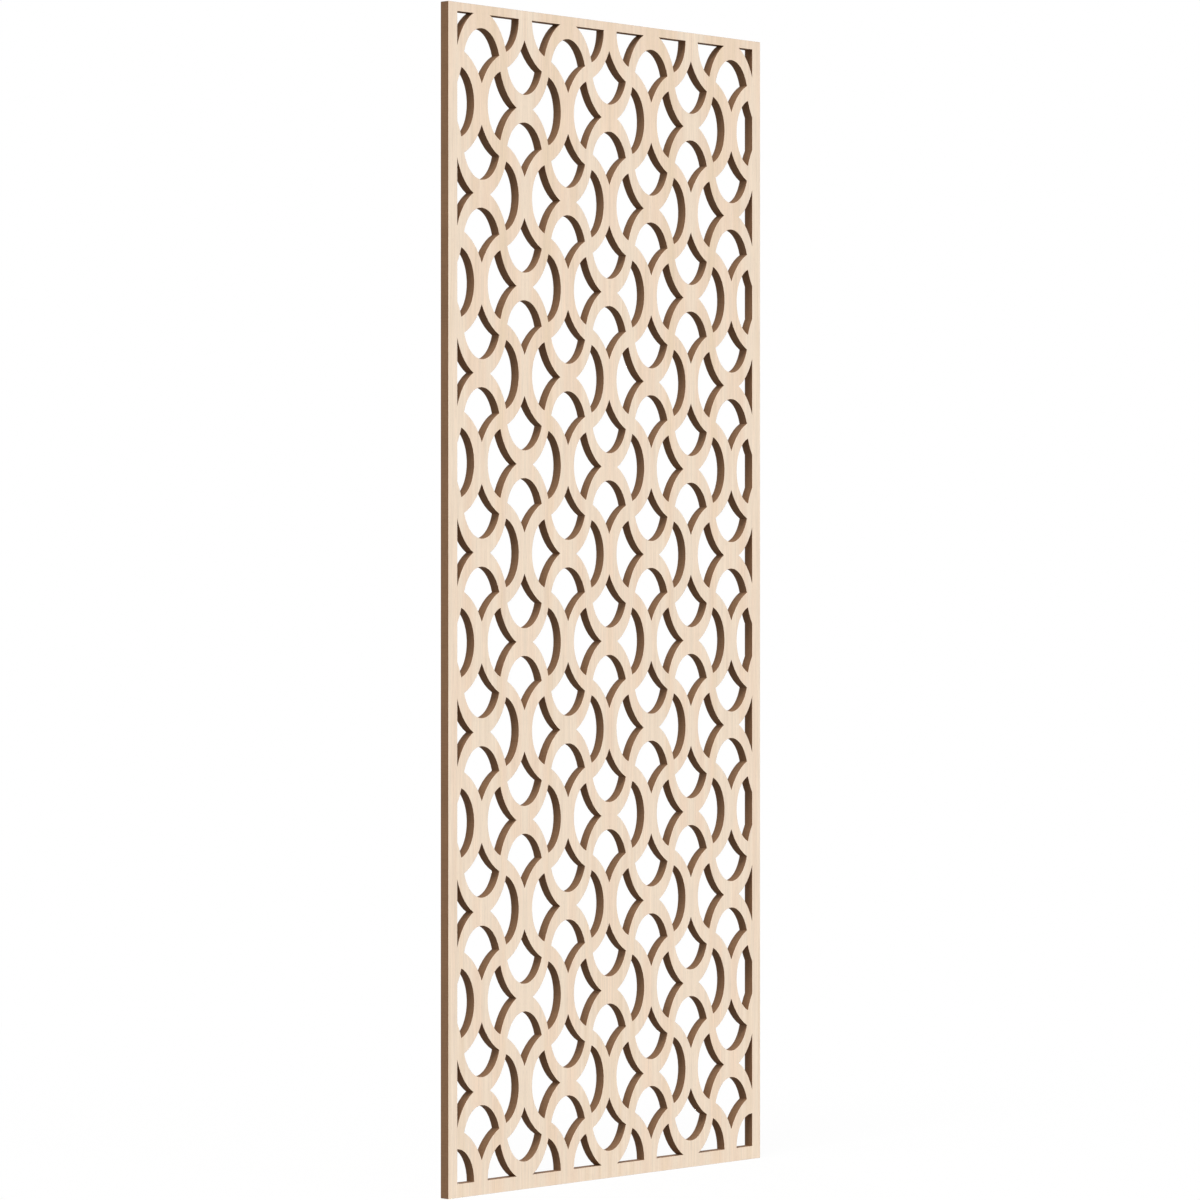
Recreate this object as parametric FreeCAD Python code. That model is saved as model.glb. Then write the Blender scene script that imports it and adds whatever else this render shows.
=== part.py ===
import FreeCAD, Part
import math
import os

# A pierced fretwork panel: a brown fibreboard sheet with sliced maple veneer on both faces, cut through
# by an all-over pattern of crossing wavy strands inside a narrow plain border. Millimetres.
# It stands on its bottom edge. The origin is the middle of that edge, X runs to the right,
# Y from the front face to the back, and Z up. The sheet is drawn flat in X and Y, then stood up.

# The sheet
PANEL_WIDTH = 593.7
PANEL_HEIGHT = 1482.7
CORE_THICKNESS = 12.0
VENEER_THICKNESS = 0.5

# The plain border round the pierced window
SIDE_BORDER = 16.1
TOP_BORDER = 11.1
BOTTOM_BORDER = 17.2

# The pattern: strands run side by side at nodes, one node at each corner of every cell, and cross in
# the middle of the cell. At every second node they run upright, and at the nodes between they run level.
NODE_COLUMNS = 7
CELL_ROWS = 13
SIDE_OVERRUN = 3.4  # the window reaches this much further than half a cell past the outer columns
ROW_STAGGER = 1.5  # odd rows of nodes lie this much further to the right than even ones

# The openings, by the wood that they leave. Each has a round foot on one node, and two hollow sides
# from the corners beside its foot to a point below the next node.
# Upright openings, which point up or down
UPRIGHT_FOOT_GAP = 17.5  # from the node that it stands on to its foot
UPRIGHT_POINT_GAP = 26.0  # from its point to the node that it points at
UPRIGHT_CORNER_ASIDE = 8.1  # from the middle of the cell to its corner, sideways
UPRIGHT_CORNER_BELOW = 6.9  # the same, upwards or downwards
UPRIGHT_HOLLOW = 3.5  # how far a side bows in, in a cell squeezed to a square of its width
# Level openings, which point to the left or to the right
LEVEL_FOOT_GAP = 12.2
LEVEL_POINT_GAP = 15.0
LEVEL_CORNER_ASIDE = 4.5
LEVEL_CORNER_BELOW = 12.9
LEVEL_HOLLOW = 4.4
# The level openings in the window's bottom corners, whose feet run on to the border
RUN_ON = 4.5  # from the middle of the cell on to where the corner would be

# The veneer leaves, with a seam down every second column of nodes
COLUMNS_PER_LEAF = 2

# Sizes that follow
WINDOW_WIDTH = PANEL_WIDTH - 2 * SIDE_BORDER
WINDOW_HEIGHT = PANEL_HEIGHT - TOP_BORDER - BOTTOM_BORDER
CELL_WIDTH = (WINDOW_WIDTH - 2 * SIDE_OVERRUN) / NODE_COLUMNS
CELL_HEIGHT = WINDOW_HEIGHT / CELL_ROWS

ORIGIN = FreeCAD.Vector(0, 0, 0)
ACROSS = FreeCAD.Vector(1, 0, 0)
OUT_OF_SHEET = FreeCAD.Vector(0, 0, 1)
QUARTER_TURN = math.pi / 2
UP, LEFT, DOWN, RIGHT = range(4)  # quarter turns of an opening from pointing up
STOOD_UP = 90  # degrees, from lying flat


def column_place(column):
    """How far right of the panel's middle a column of nodes lies, columns counted from the left."""
    return (column - (NODE_COLUMNS - 1) / 2) * CELL_WIDTH


def node_place(column, row):
    """Place of a node on the flat sheet, rows counted from the window's foot."""
    shift = ROW_STAGGER / 2 if row % 2 else -ROW_STAGGER / 2
    return FreeCAD.Vector(column_place(column) + shift, BOTTOM_BORDER + row * CELL_HEIGHT, 0)


def rectangle(left, bottom, right, top):
    """Flat rectangular face."""
    corner = FreeCAD.Vector(left, bottom, 0)
    return Part.makePlane(right - left, top - bottom, corner)


def mirrored(point):
    """A point moved to the other side of the upright line through the node."""
    return FreeCAD.Vector(-point.x, point.y, 0)


def arc_through(first, middle, last):
    """Centre, radius and end angles of the arc that runs anticlockwise through three points."""
    circle = Part.Circle(first, middle, last)
    start = math.atan2(first.y - circle.Center.y, first.x - circle.Center.x)
    end = math.atan2(last.y - circle.Center.y, last.x - circle.Center.x)
    if end < start:
        end += 4 * QUARTER_TURN
    return circle.Center, circle.Radius, start, end


def spade_arcs(foot, corner, point, hollow):
    """The three arcs round an opening that points up from a node, in a square cell of side 1.

    They are its round foot, its right side and its left side. The points given are the lowest one of
    the foot, the right corner and the upper end, and the sides bow in by the hollow.
    """
    slope = (corner - point).normalize()
    side = (corner + point) / 2 + FreeCAD.Vector(slope.y, -slope.x, 0) * hollow
    return [
        arc_through(mirrored(corner), foot, corner),
        arc_through(point, side, corner),
        arc_through(mirrored(corner), mirrored(side), point),
    ]


def upright_arcs():
    """The arcs of an upright opening, pointing up."""
    foot = FreeCAD.Vector(0, UPRIGHT_FOOT_GAP / CELL_HEIGHT, 0)
    corner_x = 1 / 2 - UPRIGHT_CORNER_ASIDE / CELL_WIDTH
    corner_y = 1 / 2 - UPRIGHT_CORNER_BELOW / CELL_HEIGHT
    point = FreeCAD.Vector(0, 1 - UPRIGHT_POINT_GAP / CELL_HEIGHT, 0)
    return spade_arcs(foot, FreeCAD.Vector(corner_x, corner_y, 0), point, UPRIGHT_HOLLOW / CELL_WIDTH)


def level_arcs(corner_aside):
    """The arcs of a level opening, before it is turned to its side, so that it points up."""
    foot = FreeCAD.Vector(0, LEVEL_FOOT_GAP / CELL_WIDTH, 0)
    corner_x = 1 / 2 - LEVEL_CORNER_BELOW / CELL_HEIGHT
    corner_y = 1 / 2 - corner_aside / CELL_WIDTH
    point = FreeCAD.Vector(0, 1 - LEVEL_POINT_GAP / CELL_WIDTH, 0)
    return spade_arcs(foot, FreeCAD.Vector(corner_x, corner_y, 0), point, LEVEL_HOLLOW / CELL_WIDTH)


def stretched_arc(node, centre, radius, start, end):
    """Arc of a circle of the square cell, from one angle to another, at the real cell's stretch."""
    middle = node + FreeCAD.Vector(centre.x * CELL_WIDTH, centre.y * CELL_HEIGHT, 0)
    sideways = FreeCAD.Vector(radius * CELL_WIDTH, 0, 0)
    upwards = FreeCAD.Vector(0, radius * CELL_HEIGHT, 0)
    if CELL_WIDTH >= CELL_HEIGHT:
        ellipse = Part.Ellipse(middle + sideways, middle + upwards, middle)
        return ellipse.toShape(start, end)
    ellipse = Part.Ellipse(middle + upwards, middle - sideways, middle)
    return ellipse.toShape(start - QUARTER_TURN, end - QUARTER_TURN)


def spade(column, row, direction):
    """Flat face of the opening that stands on a node and points in a direction."""
    node = node_place(column, row)
    turn = direction * QUARTER_TURN
    turning = FreeCAD.Rotation(OUT_OF_SHEET, math.degrees(turn))
    in_corner = row == 0 and (column, direction) in ((0, LEFT), (NODE_COLUMNS - 1, RIGHT))
    if direction in (UP, DOWN):
        arcs = upright_arcs()
    else:
        arcs = level_arcs(-RUN_ON if in_corner else LEVEL_CORNER_ASIDE)
    edges = []
    for centre, radius, start, end in arcs:
        edges.append(stretched_arc(node, turning.multVec(centre), radius, start + turn, end + turn))
    return Part.Face(Part.Wire(Part.__sortEdges__(edges)))


def openings():
    """Outlines of all openings, those at the window's edge cut off straight by it."""
    half_width = WINDOW_WIDTH / 2
    window = rectangle(-half_width, BOTTOM_BORDER, half_width, PANEL_HEIGHT - TOP_BORDER)
    outlines = []
    for column in range(-1, NODE_COLUMNS + 1):
        for row in range(CELL_ROWS + 1):
            level_strands = (column + row) % 2 == 1
            for direction in (UP, DOWN) if level_strands else (LEFT, RIGHT):
                inside = spade(column, row, direction).common(window)
                outlines.extend(face.OuterWire for face in inside.Faces)
    return outlines


def pierced_sheet():
    """The whole panel's outline with every opening, as one flat face."""
    half_width = PANEL_WIDTH / 2
    outline = rectangle(-half_width, 0, half_width, PANEL_HEIGHT).OuterWire
    return Part.makeFace([outline] + openings(), "Part::FaceMakerBullseye")


def seams():
    """Left and right limits of each veneer leaf, from the panel's left edge to its right edge."""
    columns = range(1, NODE_COLUMNS - 1, COLUMNS_PER_LEAF)
    inner = [column_place(column) for column in columns]
    limits = [-PANEL_WIDTH / 2] + inner + [PANEL_WIDTH / 2]
    return list(zip(limits[:-1], limits[1:]))


def layer(face, height, thickness):
    """A flat face made into a layer of the sheet, from a height above its mid-plane, and stood up."""
    solid = face.extrude(FreeCAD.Vector(0, 0, thickness))
    solid.translate(FreeCAD.Vector(0, 0, height))
    solid.rotate(ORIGIN, ACROSS, STOOD_UP)
    return solid


def build():
    """Write the core and the leaves of both faces, one file each."""
    os.makedirs("parts", exist_ok=True)
    sheet = pierced_sheet()
    layer(sheet, -CORE_THICKNESS / 2, CORE_THICKNESS).exportStep("parts/core.step")
    for number, (left, right) in enumerate(seams(), start=1):
        leaf = sheet.common(rectangle(left, 0, right, PANEL_HEIGHT)).Faces[0]
        front = layer(leaf, CORE_THICKNESS / 2, VENEER_THICKNESS)
        back = layer(leaf, -CORE_THICKNESS / 2 - VENEER_THICKNESS, VENEER_THICKNESS)
        front.exportStep(f"parts/front_veneer_{number}.step")
        back.exportStep(f"parts/back_veneer_{number}.step")


build()
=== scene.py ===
import math

import bmesh
import bpy
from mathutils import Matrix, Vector


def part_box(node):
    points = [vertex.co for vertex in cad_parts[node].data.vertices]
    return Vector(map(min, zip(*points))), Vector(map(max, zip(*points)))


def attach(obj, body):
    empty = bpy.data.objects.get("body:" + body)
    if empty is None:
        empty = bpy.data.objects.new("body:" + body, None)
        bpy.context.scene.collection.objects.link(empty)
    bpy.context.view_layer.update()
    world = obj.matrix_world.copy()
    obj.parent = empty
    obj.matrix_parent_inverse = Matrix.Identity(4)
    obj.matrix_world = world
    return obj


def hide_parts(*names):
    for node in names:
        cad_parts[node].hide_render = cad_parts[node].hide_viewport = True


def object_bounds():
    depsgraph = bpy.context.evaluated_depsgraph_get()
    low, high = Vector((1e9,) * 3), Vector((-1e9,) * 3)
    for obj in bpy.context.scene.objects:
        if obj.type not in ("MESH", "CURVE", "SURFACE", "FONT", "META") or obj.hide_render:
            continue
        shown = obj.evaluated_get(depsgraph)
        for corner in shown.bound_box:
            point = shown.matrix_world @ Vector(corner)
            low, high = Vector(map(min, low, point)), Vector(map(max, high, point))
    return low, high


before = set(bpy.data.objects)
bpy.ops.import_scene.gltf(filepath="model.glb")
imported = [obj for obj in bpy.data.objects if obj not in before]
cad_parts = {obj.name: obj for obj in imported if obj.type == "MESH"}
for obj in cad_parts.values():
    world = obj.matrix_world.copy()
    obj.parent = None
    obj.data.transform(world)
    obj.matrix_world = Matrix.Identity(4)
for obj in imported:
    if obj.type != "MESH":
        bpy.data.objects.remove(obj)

# Lengths are in metres, angles in degrees, colours in linear light.

# Sizes read from the frame
CAD_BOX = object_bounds()
LEAF_LOW, LEAF_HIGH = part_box("front_veneer_2")
LEAVES = [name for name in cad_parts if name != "core"]
SEAM_SPACING = LEAF_HIGH.x - LEAF_LOW.x
HALF_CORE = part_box("core")[1].y
HALF_SHEET = CAD_BOX[1].y

# The view: level, from the left of the panel's front
VIEW_TURN = 47.58
VIEW_DISTANCE = 6.102
VIEW_ASIDE = -0.01855  # from the panel's middle to the point looked at
VIEW_AIM = Vector((VIEW_ASIDE, CAD_BOX[0].y, (CAD_BOX[0].z + CAD_BOX[1].z) / 2))
VIEW_LENS = 142.98
SENSOR = 36.0

# The studio
FLOOR_REACH = 60.0
VIEW_REACH = 4 * FLOOR_REACH  # how far the camera sees, past the floor's corners
FLOOR_BOUNCE = 0.20  # how pale the floor is to the light that it throws back
SHADOW_DEPTH = 0.06  # the most of the floor's white that a shadow takes away
SHADOW_NEAR, SHADOW_FAR = 0.8, 2.4  # from the panel, where shadows start to fade and where they end
LAMP_DISTANCE = 5.0  # the lamps are suns, whose light is the same from any distance
LAMPS = [  # name, turn to the panel's left, height, strength, how wide it looks from the panel
    ("key", 60.0, 63.0, 1.24, 23.0),
    ("front", -1.0, 5.0, 1.77, 9.0),
    ("side", 85.0, 34.0, 0.58, 23.0),
    ("back", -155.0, 5.0, 2.05, 9.0),
]
AMBIENT = 0.42

# The arris of the veneer, sanded by hand
ARRIS = 0.00015
ARRIS_STEPS = 2

# Limits for the meshes: points taken as one, places taken as a seam, sides as flat, edges as corners
MERGE_WITHIN = 1e-6
SEAM_WITHIN = 1e-5
FLAT_ANGLE = 0.2
CORNER_ANGLE = 35.0

# How far a noise strays from its middle, for fine marks and for soft ones
NOISE_MIDDLE = 0.5
FINE_REACH = 0.25
SOFT_REACH = 0.2

# Maple: the colours of its slow bands, by their places in the noise
MAPLE_CREAM = (0.866, 0.722, 0.572)
MAPLE_PINK = (0.856, 0.678, 0.522)
MAPLE_TAN = (0.806, 0.640, 0.468)
BAND_COLOURS = [(0.28, MAPLE_TAN), (0.44, MAPLE_PINK), (0.56, MAPLE_CREAM), (0.72, MAPLE_PINK)]
# Each kind of mark: its width across the grain, its length along it, and its detail
BAND = (0.045, 1.0, 3.0)
STRIPE = (0.014, 0.6, 2.0)
STREAK = (0.004, 0.16, 3.0)
RING = (0.0018, 0.07, 2.0)
FIBRE = (0.0006, 0.030, 2.0)
PORE = (0.0005, 0.007, 1.0)
FLECK = (0.0022, 0.010, 1.0)
# The sheen mark is painted sheen: soft patches of lighter and darker colour that stand in for light
# shimmering on maple's grain
PAINTED_SHEEN = (0.03, 0.05, 2.0)
DRIFT = (0.3, 0.9, 2.0)
GRAIN_ROUGHNESS = 0.6
# The noise at which a mark starts to show, and at which it is full
STRIPE_START, STRIPE_FULL = 0.56, 0.72
PORE_START, PORE_FULL = 0.62, 0.74
FLECK_START, FLECK_FULL = 0.70, 0.78
# How much a mark covers, or darkens or lightens the wood
STRIPE_COVER = 0.75
STREAK_DEPTH = 0.05
RING_DEPTH = 0.05
FIBRE_DEPTH = 0.055
# How far the painted sheen lightens and darkens the colour, in place of light shimmering on the lacquered
# grain
PAINTED_SHEEN_DEPTH = 0.02
PORE_DEPTH = 0.16
FLECK_DEPTH = 0.10
SEAM_DEPTH = 0.28
# How far the grain strays sideways, and the seam between two leaves
WANDER = 0.010
SEAM_WIDTH = 0.00012
# The satin lacquer, and the strength and depth of the grain under it
LACQUER_SMOOTH, LACQUER_DULL = 0.46, 0.58
LACQUER_SPECULAR = 0.3
GRAIN_BUMP = (0.15, 0.0001)

# Fibreboard, its cut edge sealed brown, with darker skins and the edge of the veneer over them
BOARD_BROWN = (0.312, 0.175, 0.094)
BOARD_DARK = (0.272, 0.149, 0.078)
EDGE_OF_VENEER = (0.335, 0.196, 0.110)
SKIN = 0.0018
# Its marks by their lengths along X, Y and Z, and how much each darkens or lightens it
BOARD_FIBRE = (0.0007, 0.0007, 0.0007)
FLAKE = (0.006, 0.0012, 0.006)
CUT = (0.0009, 0.04, 0.0009)
CLOUD = (0.06, 0.06, 0.06)
BOARD_FIBRE_DETAIL = 3.0
BOARD_FIBRE_ROUGHNESS = 0.65
BOARD_FIBRE_DEPTH = 0.14
FLAKE_DEPTH = 0.07
CUT_DEPTH = 0.08
CLOUD_DEPTH = 0.05
# Its sealed surface, the relief of its fibres against that of the cuts, and the strength and depth of both
BOARD_SMOOTH, BOARD_DULL = 0.68, 0.85
BOARD_SPECULAR = 0.15
FIBRE_RELIEF = 0.5
BOARD_BUMP = (0.3, 0.0001)


class Tree:
    """A material's node tree, with short ways to add nodes and join them."""

    def __init__(self, name):
        self.material = bpy.data.materials.new(name)
        self.material.use_nodes = True
        self.nodes = self.material.node_tree.nodes
        self.links = self.material.node_tree.links
        self.shader = self.nodes["Principled BSDF"]

    def feed(self, socket, value):
        """Give a socket a number, a colour, or another node's output."""
        if isinstance(value, bpy.types.NodeSocket):
            self.links.new(value, socket)
        elif isinstance(value, tuple) and socket.type == "RGBA":
            socket.default_value = (*value, 1)
        else:
            socket.default_value = value

    def place(self):
        """The point on the piece, in metres."""
        return self.nodes.new("ShaderNodeTexCoord").outputs["Object"]

    def split(self, vector):
        """The three parts of a point."""
        node = self.nodes.new("ShaderNodeSeparateXYZ")
        self.feed(node.inputs["Vector"], vector)
        return node.outputs["X"], node.outputs["Y"], node.outputs["Z"]

    def join(self, x, y, z):
        """A point from its three parts."""
        node = self.nodes.new("ShaderNodeCombineXYZ")
        for socket, value in zip(node.inputs, (x, y, z)):
            self.feed(socket, value)
        return node.outputs["Vector"]

    def math(self, operation, first, second=0.0):
        """One sum on one or two numbers."""
        node = self.nodes.new("ShaderNodeMath")
        node.operation = operation
        self.feed(node.inputs[0], first)
        self.feed(node.inputs[1], second)
        return node.outputs["Value"]

    def noise(self, point, lengths, detail=2.0, roughness=0.5):
        """Noise whose marks have about these lengths along X, Y and Z."""
        scale = self.nodes.new("ShaderNodeMapping")
        scale.inputs["Scale"].default_value = tuple(1 / length for length in lengths)
        self.feed(scale.inputs["Vector"], point)
        node = self.nodes.new("ShaderNodeTexNoise")
        node.inputs["Scale"].default_value = 1.0
        node.inputs["Detail"].default_value = detail
        node.inputs["Roughness"].default_value = roughness
        self.links.new(scale.outputs["Vector"], node.inputs["Vector"])
        return node.outputs["Fac"]

    def spread(self, value, low, high, to_low, to_high):
        """A number carried from one range to another, and held at its ends."""
        node = self.nodes.new("ShaderNodeMapRange")
        for socket, given in zip(node.inputs, (value, low, high, to_low, to_high)):
            self.feed(socket, given)
        return node.outputs["Result"]

    def ramp(self, value, stops):
        """A colour picked along a row of colours."""
        node = self.nodes.new("ShaderNodeValToRGB")
        elements = node.color_ramp.elements
        while len(elements) < len(stops):
            elements.new(0.5)
        for element, (position, colour) in zip(elements, stops):
            element.position = position
            element.color = (*colour, 1)
        self.feed(node.inputs["Fac"], value)
        return node.outputs["Color"]

    def mix(self, amount, first, second):
        """One colour laid over another by an amount."""
        node = self.nodes.new("ShaderNodeMix")
        node.data_type = "RGBA"
        self.feed(node.inputs["Factor"], amount)
        self.feed(node.inputs["A"], first)
        self.feed(node.inputs["B"], second)
        return node.outputs["Result"]

    def tint(self, colour, factor):
        """A colour made lighter or darker by a factor."""
        node = self.nodes.new("ShaderNodeVectorMath")
        node.operation = "SCALE"
        self.feed(node.inputs[0], colour)
        self.feed(node.inputs["Scale"], factor)
        return node.outputs["Vector"]

    def shade(self, colour, amount, depth):
        """A colour made darker by up to a depth, where the amount is one."""
        return self.tint(colour, self.spread(amount, 0, 1, 1, 1 - depth))

    def follow(self, noise, low, high, reach=FINE_REACH):
        """A number that runs from low to high along with a noise."""
        return self.spread(noise, NOISE_MIDDLE - reach, NOISE_MIDDLE + reach, low, high)

    def vary(self, colour, noise, depth, reach=FINE_REACH):
        """A colour made lighter and darker by up to a depth, along with a noise."""
        return self.tint(colour, self.follow(noise, 1 - depth, 1 + depth, reach))

    def bump(self, height, strength, distance):
        """The normal of a surface with this relief."""
        node = self.nodes.new("ShaderNodeBump")
        node.inputs["Strength"].default_value = strength
        node.inputs["Distance"].default_value = distance
        self.feed(node.inputs["Height"], height)
        return node.outputs["Normal"]


def grain_noise(tree, point, mark):
    """Noise with upright marks of a width, a length and a detail."""
    width, length, detail = mark
    return tree.noise(point, (width, width, length), detail, GRAIN_ROUGHNESS)


def maple():
    """Straight-grained maple under satin lacquer, grain upright, the leaves mirrored at each seam."""
    tree = Tree("maple_veneer")
    x, y, z = tree.split(tree.place())
    across = tree.math("PINGPONG", x, SEAM_SPACING)
    leaf = tree.join(across, y, z)

    drift = grain_noise(tree, leaf, DRIFT)
    shift = tree.spread(drift, 0, 1, -WANDER, WANDER)
    grain = tree.join(tree.math("ADD", across, shift), y, z)
    bands = grain_noise(tree, grain, BAND)
    stripes = grain_noise(tree, grain, STRIPE)
    streaks = grain_noise(tree, grain, STREAK)
    rings = grain_noise(tree, grain, RING)
    fibres = grain_noise(tree, grain, FIBRE)
    pores = grain_noise(tree, grain, PORE)
    flecks = grain_noise(tree, grain, FLECK)
    painted_sheen = grain_noise(tree, grain, PAINTED_SHEEN)

    colour = tree.ramp(bands, BAND_COLOURS)
    stripe = tree.spread(stripes, STRIPE_START, STRIPE_FULL, 0, STRIPE_COVER)
    colour = tree.mix(stripe, colour, MAPLE_TAN)
    colour = tree.vary(colour, streaks, STREAK_DEPTH)
    colour = tree.vary(colour, rings, RING_DEPTH)
    colour = tree.vary(colour, fibres, FIBRE_DEPTH)
    # Painted sheen: the colour lightened and darkened in soft patches, standing in for light shimmering on
    # the grain
    colour = tree.vary(colour, painted_sheen, PAINTED_SHEEN_DEPTH)
    pore = tree.spread(pores, PORE_START, PORE_FULL, 0, 1)
    colour = tree.shade(colour, pore, PORE_DEPTH)
    fleck = tree.spread(flecks, FLECK_START, FLECK_FULL, 0, 1)
    colour = tree.shade(colour, fleck, FLECK_DEPTH)

    to_seam = tree.math("MINIMUM", across, tree.math("SUBTRACT", SEAM_SPACING, across))
    seam = tree.spread(to_seam, SEAM_WIDTH / 2, SEAM_WIDTH, 1, 0)
    colour = tree.shade(colour, seam, SEAM_DEPTH)

    relief = tree.math("SUBTRACT", fibres, tree.math("ADD", pore, seam))
    tree.feed(tree.shader.inputs["Base Color"], colour)
    tree.feed(tree.shader.inputs["Roughness"], tree.follow(fibres, LACQUER_SMOOTH, LACQUER_DULL))
    tree.feed(tree.shader.inputs["Normal"], tree.bump(relief, *GRAIN_BUMP))
    tree.shader.inputs["Specular IOR Level"].default_value = LACQUER_SPECULAR
    return tree.material


def fibreboard():
    """The sealed brown wall of a cut: fine fibres, marks across the thickness, denser outer skins."""
    tree = Tree("cut_edge")
    point = tree.place()
    fibres = tree.noise(point, BOARD_FIBRE, BOARD_FIBRE_DETAIL, BOARD_FIBRE_ROUGHNESS)
    flakes = tree.noise(point, FLAKE)
    cuts = tree.noise(point, CUT)
    cloud = tree.noise(point, CLOUD)

    out = tree.math("ABSOLUTE", tree.split(point)[1])
    skin = tree.spread(out, HALF_CORE - SKIN, HALF_CORE, 0, 1)
    colour = tree.mix(skin, BOARD_BROWN, BOARD_DARK)
    veneer = tree.spread(out, HALF_CORE, HALF_CORE + MERGE_WITHIN, 0, 1)
    colour = tree.mix(veneer, colour, EDGE_OF_VENEER)
    colour = tree.vary(colour, fibres, BOARD_FIBRE_DEPTH)
    colour = tree.vary(colour, flakes, FLAKE_DEPTH, SOFT_REACH)
    colour = tree.vary(colour, cuts, CUT_DEPTH, SOFT_REACH)
    colour = tree.vary(colour, cloud, CLOUD_DEPTH, SOFT_REACH)

    relief = tree.math("ADD", cuts, tree.math("MULTIPLY", fibres, FIBRE_RELIEF))
    tree.feed(tree.shader.inputs["Base Color"], colour)
    tree.feed(tree.shader.inputs["Roughness"], tree.follow(fibres, BOARD_SMOOTH, BOARD_DULL))
    tree.feed(tree.shader.inputs["Normal"], tree.bump(relief, *BOARD_BUMP))
    tree.shader.inputs["Specular IOR Level"].default_value = BOARD_SPECULAR
    return tree.material


def joined_copy(name):
    """A CAD solid as one closed mesh, with the triangles of its flat sides joined up."""
    mesh = bmesh.new()
    mesh.from_mesh(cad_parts[name].data)
    bmesh.ops.remove_doubles(mesh, verts=mesh.verts, dist=MERGE_WITHIN)
    limit = math.radians(FLAT_ANGLE)
    bmesh.ops.dissolve_limit(mesh, angle_limit=limit, verts=mesh.verts, edges=mesh.edges)
    return mesh


def ease_arrises(mesh, outside):
    """Round the edges of the outer face a little, but not those that butt against the next leaf."""
    edges = []
    for edge in mesh.edges:
        ends = [vert.co for vert in edge.verts]
        on_outside = all(abs(end.y - outside) < MERGE_WITHIN for end in ends)
        in_seam = all(abs(end.x - ends[0].x) < MERGE_WITHIN and is_seam(end.x) for end in ends)
        if on_outside and not in_seam and edge.calc_face_angle(0) > math.radians(CORNER_ANGLE):
            edges.append(edge)
    bmesh.ops.bevel(
        mesh, geom=edges, affect="EDGES", offset=ARRIS, segments=ARRIS_STEPS, profile=0.5,
        material=-1, loop_slide=False,
    )


def is_seam(x):
    """Whether an upright line at this place is a seam between two leaves."""
    steps = x / SEAM_SPACING
    inside = CAD_BOX[0].x + MERGE_WITHIN < x < CAD_BOX[1].x - MERGE_WITHIN
    return inside and abs(steps - round(steps)) * SEAM_SPACING < SEAM_WITHIN


def finish_piece(mesh, name, node, materials):
    """Shade a mesh, flat on the faces and smooth round the cuts, and put it in its node's place."""
    for face in mesh.faces:
        facing = abs(face.normal.y)
        face.smooth = facing < math.cos(math.radians(FLAT_ANGLE))
        face.material_index = len(materials) - 1 if face.smooth else 0
    for edge in mesh.edges:
        edge.smooth = edge.calc_face_angle(0) < math.radians(CORNER_ANGLE)
    data = bpy.data.meshes.new(name)
    mesh.to_mesh(data)
    mesh.free()
    for material in materials:
        data.materials.append(material)
    piece = bpy.data.objects.new(name, data)
    bpy.context.collection.objects.link(piece)
    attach(piece, "root")
    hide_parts(node)


def make_panel():
    """The core board and the leaves of both faces."""
    face = maple()
    cut = fibreboard()
    finish_piece(joined_copy("core"), "core_board", "core", [cut])
    for name in LEAVES:
        mesh = joined_copy(name)
        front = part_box(name)[0].y < 0
        ease_arrises(mesh, -HALF_SHEET if front else HALF_SHEET)
        finish_piece(mesh, name.replace("veneer", "leaf"), name, [face, cut])


def seen_directly(nodes, links):
    """One where a ray from the camera, a reflection or a clear view meets a surface, else nought."""
    path = nodes.new("ShaderNodeLightPath")
    value = path.outputs["Is Camera Ray"]
    for kind in ("Is Glossy Ray", "Is Transmission Ray"):
        either = nodes.new("ShaderNodeMath")
        either.operation = "MAXIMUM"
        links.new(value, either.inputs[0])
        links.new(path.outputs[kind], either.inputs[1])
        value = either.outputs["Value"]
    return value


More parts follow.
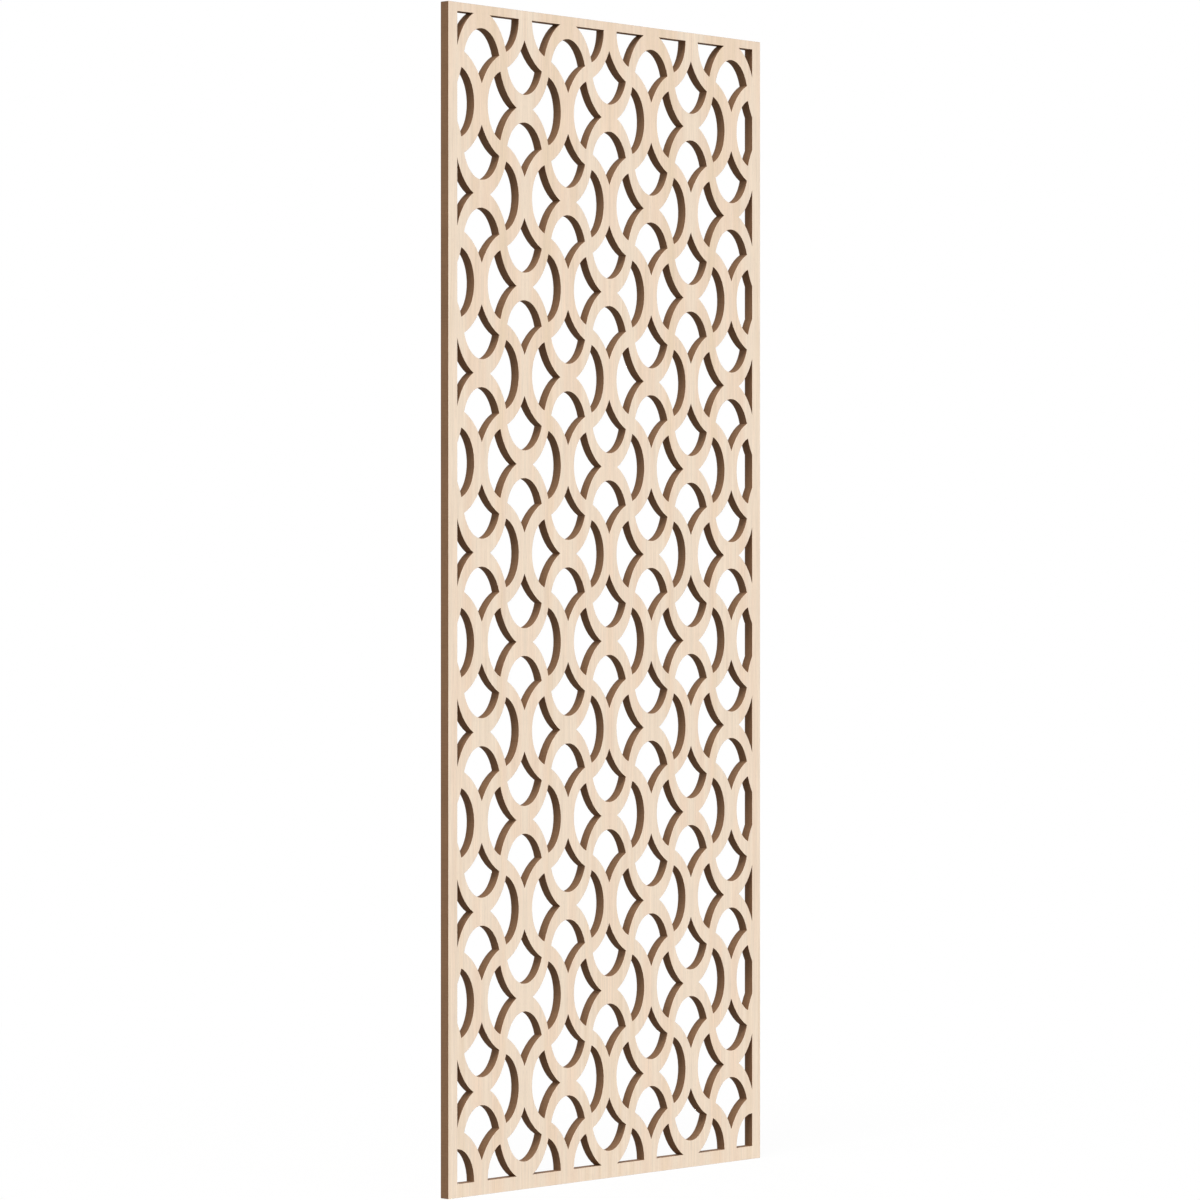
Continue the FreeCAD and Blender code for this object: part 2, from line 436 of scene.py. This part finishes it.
def make_floor():
    """A plain pale floor that looks white and keeps a light shadow round the panel's foot."""
    mesh = bmesh.new()
    bmesh.ops.create_grid(mesh, x_segments=1, y_segments=1, size=FLOOR_REACH)
    data = bpy.data.meshes.new("floor")
    mesh.to_mesh(data)
    mesh.free()
    floor = bpy.data.objects.new("floor", data)
    bpy.context.collection.objects.link(floor)

    material = bpy.data.materials.new("floor")
    material.use_nodes = True
    nodes = material.node_tree.nodes
    links = material.node_tree.links
    nodes.clear()
    plain = nodes.new("ShaderNodeBsdfDiffuse")
    plain.inputs["Color"].default_value = (FLOOR_BOUNCE, FLOOR_BOUNCE, FLOOR_BOUNCE, 1)

    place = nodes.new("ShaderNodeTexCoord")
    away = nodes.new("ShaderNodeVectorMath")
    away.operation = "LENGTH"
    depth = nodes.new("ShaderNodeMapRange")
    depth.inputs["From Min"].default_value = SHADOW_NEAR
    depth.inputs["From Max"].default_value = SHADOW_FAR
    depth.inputs["To Min"].default_value = SHADOW_DEPTH
    depth.inputs["To Max"].default_value = 0.0
    rest = nodes.new("ShaderNodeMath")
    rest.operation = "SUBTRACT"
    rest.inputs[0].default_value = 1.0
    links.new(place.outputs["Object"], away.inputs[0])
    links.new(away.outputs["Value"], depth.inputs["Value"])
    links.new(depth.outputs["Result"], rest.inputs[1])

    shaded = nodes.new("ShaderNodeBsdfDiffuse")
    links.new(depth.outputs["Result"], shaded.inputs["Color"])
    glow = nodes.new("ShaderNodeEmission")
    links.new(rest.outputs["Value"], glow.inputs["Strength"])
    white = nodes.new("ShaderNodeAddShader")
    either = nodes.new("ShaderNodeMixShader")
    out = nodes.new("ShaderNodeOutputMaterial")
    links.new(shaded.outputs["BSDF"], white.inputs[0])
    links.new(glow.outputs["Emission"], white.inputs[1])
    links.new(seen_directly(nodes, links), either.inputs["Fac"])
    links.new(plain.outputs["BSDF"], either.inputs[1])
    links.new(white.outputs["Shader"], either.inputs[2])
    links.new(either.outputs["Shader"], out.inputs["Surface"])
    data.materials.append(material)


def make_world():
    """A white surround to the eye, and a weak even light on the panel."""
    world = bpy.data.worlds.new("studio")
    bpy.context.scene.world = world
    world.use_nodes = True
    nodes = world.node_tree.nodes
    links = world.node_tree.links
    surround = nodes["Background"]
    surround.inputs["Color"].default_value = (1, 1, 1, 1)
    strength = nodes.new("ShaderNodeMapRange")
    strength.inputs["To Min"].default_value = AMBIENT
    strength.inputs["To Max"].default_value = 1.0
    links.new(seen_directly(nodes, links), strength.inputs["Value"])
    links.new(strength.outputs["Result"], surround.inputs["Strength"])


def towards(turn, height):
    """Direction from the panel: turned to its left from straight ahead, and raised."""
    turn = math.radians(turn)
    height = math.radians(height)
    level = math.cos(height)
    return Vector((-math.sin(turn) * level, -math.cos(turn) * level, math.sin(height)))


def place_facing(thing, direction, distance):
    """Put a lamp or the camera at a distance from the panel, looking at it."""
    thing.location = VIEW_AIM + distance * direction
    thing.rotation_euler = (-direction).to_track_quat("-Z", "Y").to_euler()
    bpy.context.collection.objects.link(thing)


def make_lamp(name, turn, height, strength, width):
    """A round soft lamp that lights the panel evenly from top to foot."""
    data = bpy.data.lights.new(name, "SUN")
    data.angle = math.radians(width)
    data.energy = strength
    place_facing(bpy.data.objects.new(name, data), towards(turn, height), LAMP_DISTANCE)


def make_camera():
    """A long lens at the height of the panel's middle, so that its upright edges stay parallel."""
    data = bpy.data.cameras.new("photo_view")
    data.lens = VIEW_LENS
    data.sensor_width = SENSOR
    data.clip_end = VIEW_REACH
    camera = bpy.data.objects.new("photo_view", data)
    place_facing(camera, towards(VIEW_TURN, 0), VIEW_DISTANCE)
    bpy.context.scene.camera = camera


make_panel()
make_floor()
make_world()
make_camera()
for lamp in LAMPS:
    make_lamp(*lamp)
bpy.context.scene.view_settings.view_transform = "Standard"
